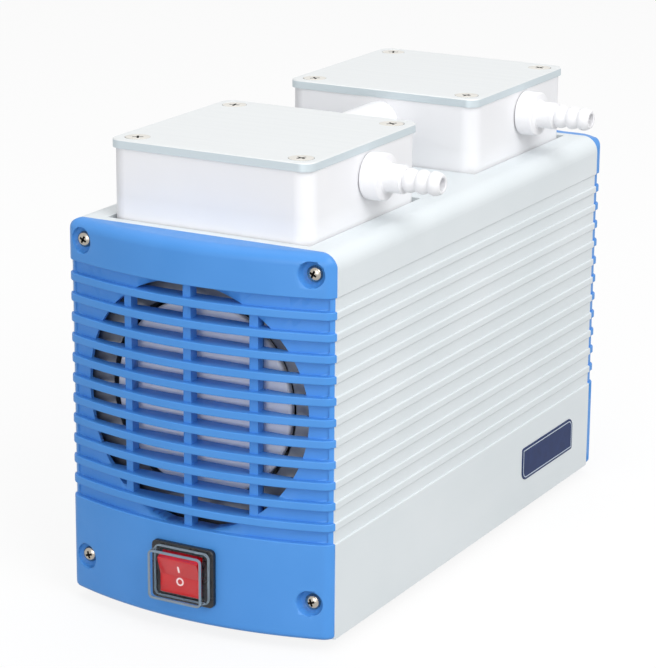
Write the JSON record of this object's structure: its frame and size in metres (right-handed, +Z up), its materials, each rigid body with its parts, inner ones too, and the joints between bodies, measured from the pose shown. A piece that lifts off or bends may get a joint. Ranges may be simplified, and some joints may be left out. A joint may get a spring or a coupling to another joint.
{
  "type": "diaphragm vacuum pump",
  "caption": "Two-head diaphragm vacuum pump in a ribbed housing, with bulged end grilles, rocker switch, side hose barbs and a motor-driven shaft.",
  "frame": {"origin": "on the floor plane, at the centre of the four rubber feet", "axes": "+X towards the hose barbs, +Y from the switch end to the mains inlet end, +Z up"},
  "size_m": [0.1596, 0.3247, 0.2226],
  "materials": {
    "housing": "pale grey satin coat on extruded aluminium",
    "cover_blue": "moulded blue ABS, fine satin grain",
    "white_ptfe": "machined white PTFE, soft satin",
    "bare_plate": "fine brushed bare aluminium",
    "screw_steel": "polished stainless steel",
    "switch_black": "black nylon",
    "rocker_red": "glossy red polycarbonate with white marks",
    "clear_boot": "clear flexible PVC",
    "contact_brass": "nickel-plated brass",
    "rubber": "black rubber",
    "elastomer": "fabric-backed elastomer",
    "valve_film": "pale fluoroelastomer",
    "cast_alloy": "die-cast, lightly blasted",
    "steel": "ground steel",
    "zinc_plate": "zinc-plated sheet",
    "lamination": "stacked electrical steel",
    "copper_wire": "enamelled copper",
    "fan_white": "moulded white nylon",
    "capacitor_can": "drawn aluminium can"
  },
  "bodies": {
    "housing": {"housing_shell": "housing", "base_plate": "zinc_plate", "base_plate_screws": "screw_steel", "rubber_feet": "rubber", "feet_studs": "screw_steel", "front_cover": "cover_blue", "rear_cover": "cover_blue", "cover_screws": "screw_steel", "switch_body": "switch_black", "switch_boot": "clear_boot", "power_inlet": "switch_black", "inlet_pins": "contact_brass", "inlet_screws": "screw_steel", "main_bearings": "steel", "stator_core": "lamination", "stator_windings": "copper_wire", "run_capacitor": "capacitor_can", "capacitor_clamp": "zinc_plate", "head_screws": "screw_steel", "head_seals": "elastomer", "inlet_barb": "white_ptfe", "outlet_barb": "white_ptfe", "link_tube": "white_ptfe", "front_crankcase": "cast_alloy", "front_motor_ring": "zinc_plate", "front_fan_baffle": "zinc_plate", "front_diaphragm": "elastomer", "front_head_base": "white_ptfe", "front_head_cover": "white_ptfe", "front_top_plate": "bare_plate", "rear_crankcase": "cast_alloy", "rear_motor_ring": "zinc_plate", "rear_fan_baffle": "zinc_plate", "rear_diaphragm": "elastomer", "rear_head_base": "white_ptfe", "rear_head_cover": "white_ptfe", "rear_top_plate": "bare_plate"},
    "rotor": {"rotor_shaft": "steel", "rotor_core": "lamination", "front_eccentric": "steel", "front_fan": "fan_white", "rear_eccentric": "steel", "rear_fan": "fan_white"},
    "switch_rocker_body": {"switch_rocker": "rocker_red"},
    "front_rod_body": {"front_rod": "cast_alloy", "front_rod_bearing": "steel", "front_clamp_plate": "bare_plate", "front_clamp_disc": "white_ptfe"},
    "front_inlet_valve_disc": {"front_inlet_valve": "valve_film"},
    "front_outlet_valve_disc": {"front_outlet_valve": "valve_film"},
    "rear_rod_body": {"rear_rod": "cast_alloy", "rear_rod_bearing": "steel", "rear_clamp_plate": "bare_plate", "rear_clamp_disc": "white_ptfe"},
    "rear_inlet_valve_disc": {"rear_inlet_valve": "valve_film"},
    "rear_outlet_valve_disc": {"rear_outlet_valve": "valve_film"}
  },
  "joints": [
    {"name": "shaft_turn", "type": "hinge", "parent": "housing", "child": "rotor", "pos_m": [0, 0, 0.109], "axis": [0, 1, 0], "continuous": true, "deforming": ["front_diaphragm", "rear_diaphragm"]},
    {"name": "front_rod_pivot", "type": "hinge", "parent": "rotor", "child": "front_rod_body", "pos_m": [0, -0.082, 0.113], "axis": [0, 1, 0], "continuous": true},
    {"name": "rear_rod_pivot", "type": "hinge", "parent": "rotor", "child": "rear_rod_body", "pos_m": [0, 0.082, 0.105], "axis": [0, 1, 0], "continuous": true},
    {"name": "switch_tilt", "type": "hinge", "parent": "housing", "child": "switch_rocker_body", "pos_m": [0, -0.155, 0.03], "axis": [1, 0, 0], "range_deg": [-18, 0]},
    {"name": "front_inlet_valve_lift", "type": "slide", "parent": "housing", "child": "front_inlet_valve_disc", "axis": [0, 0, 1], "range_m": [-0.001, 0]},
    {"name": "front_outlet_valve_lift", "type": "slide", "parent": "housing", "child": "front_outlet_valve_disc", "axis": [0, 0, 1], "range_m": [0, 0.001]},
    {"name": "rear_inlet_valve_lift", "type": "slide", "parent": "housing", "child": "rear_inlet_valve_disc", "axis": [0, 0, 1], "range_m": [-0.001, 0]},
    {"name": "rear_outlet_valve_lift", "type": "slide", "parent": "housing", "child": "rear_outlet_valve_disc", "axis": [0, 0, 1], "range_m": [0, 0.001]}
  ],
  "couplings": [
    {"joint": "front_rod_pivot", "follows": "shaft_turn", "ratio": -1},
    {"joint": "rear_rod_pivot", "follows": "shaft_turn", "ratio": -1}
  ]
}
